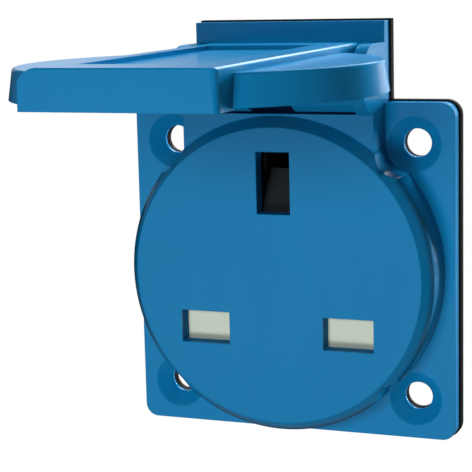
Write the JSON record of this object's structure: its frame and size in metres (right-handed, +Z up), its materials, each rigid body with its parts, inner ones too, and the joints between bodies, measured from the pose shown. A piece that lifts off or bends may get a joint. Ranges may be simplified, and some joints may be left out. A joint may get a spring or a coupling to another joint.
{
  "type": "panel-mount british three-pin socket outlet with hinged lid",
  "caption": "Panel-mount power socket with a square drilled flange, a raised round face with flat-pin slots, a sliding inner shutter, a hinged round lid and a rear terminal body.",
  "frame": {"origin": "middle of the four fixing holes, on the plane where the gasket meets the panel", "axes": "+X to the right as seen from the front, +Y into the panel, +Z up towards the hinge"},
  "size_m": [0.0506, 0.086, 0.0623],
  "materials": {
    "blue_plastic": "satin moulded plastic",
    "black_rubber": "matt rubber",
    "cream_plastic": "matt moulded plastic",
    "black_plastic": "matt moulded plastic",
    "brass": "stamped and machined brass",
    "steel": "plated steel"
  },
  "bodies": {
    "socket": {"housing": "blue_plastic", "flange_gasket": "black_rubber", "hinge_pin": "steel", "shutter_guide": "black_plastic", "contact_carrier": "black_plastic", "line_contact": "brass", "neutral_contact": "brass", "earth_contact": "brass", "line_terminal": "brass", "neutral_terminal": "brass", "earth_terminal": "brass", "terminal_screws": "steel", "rear_cover": "black_plastic", "body_screws": "steel", "shutter_spring": "steel"},
    "lid": {"lid": "blue_plastic", "lid_seal": "black_rubber"},
    "shutter": {"shutter_plate": "cream_plastic", "earth_cam": "black_plastic"}
  },
  "joints": [
    {"name": "lid_hinge", "type": "hinge", "parent": "socket", "child": "lid", "pos_m": [0, -0.0101, 0.0286], "axis": [1, 0, 0], "range_deg": [0, 90]},
    {"name": "shutter_slide", "type": "slide", "parent": "socket", "child": "shutter", "axis": [0, 0, -1], "range_m": [0, 0.0048], "stiffness_N_per_m": 150, "springref_m": -0.003, "deforming": ["shutter_spring"]}
  ]
}
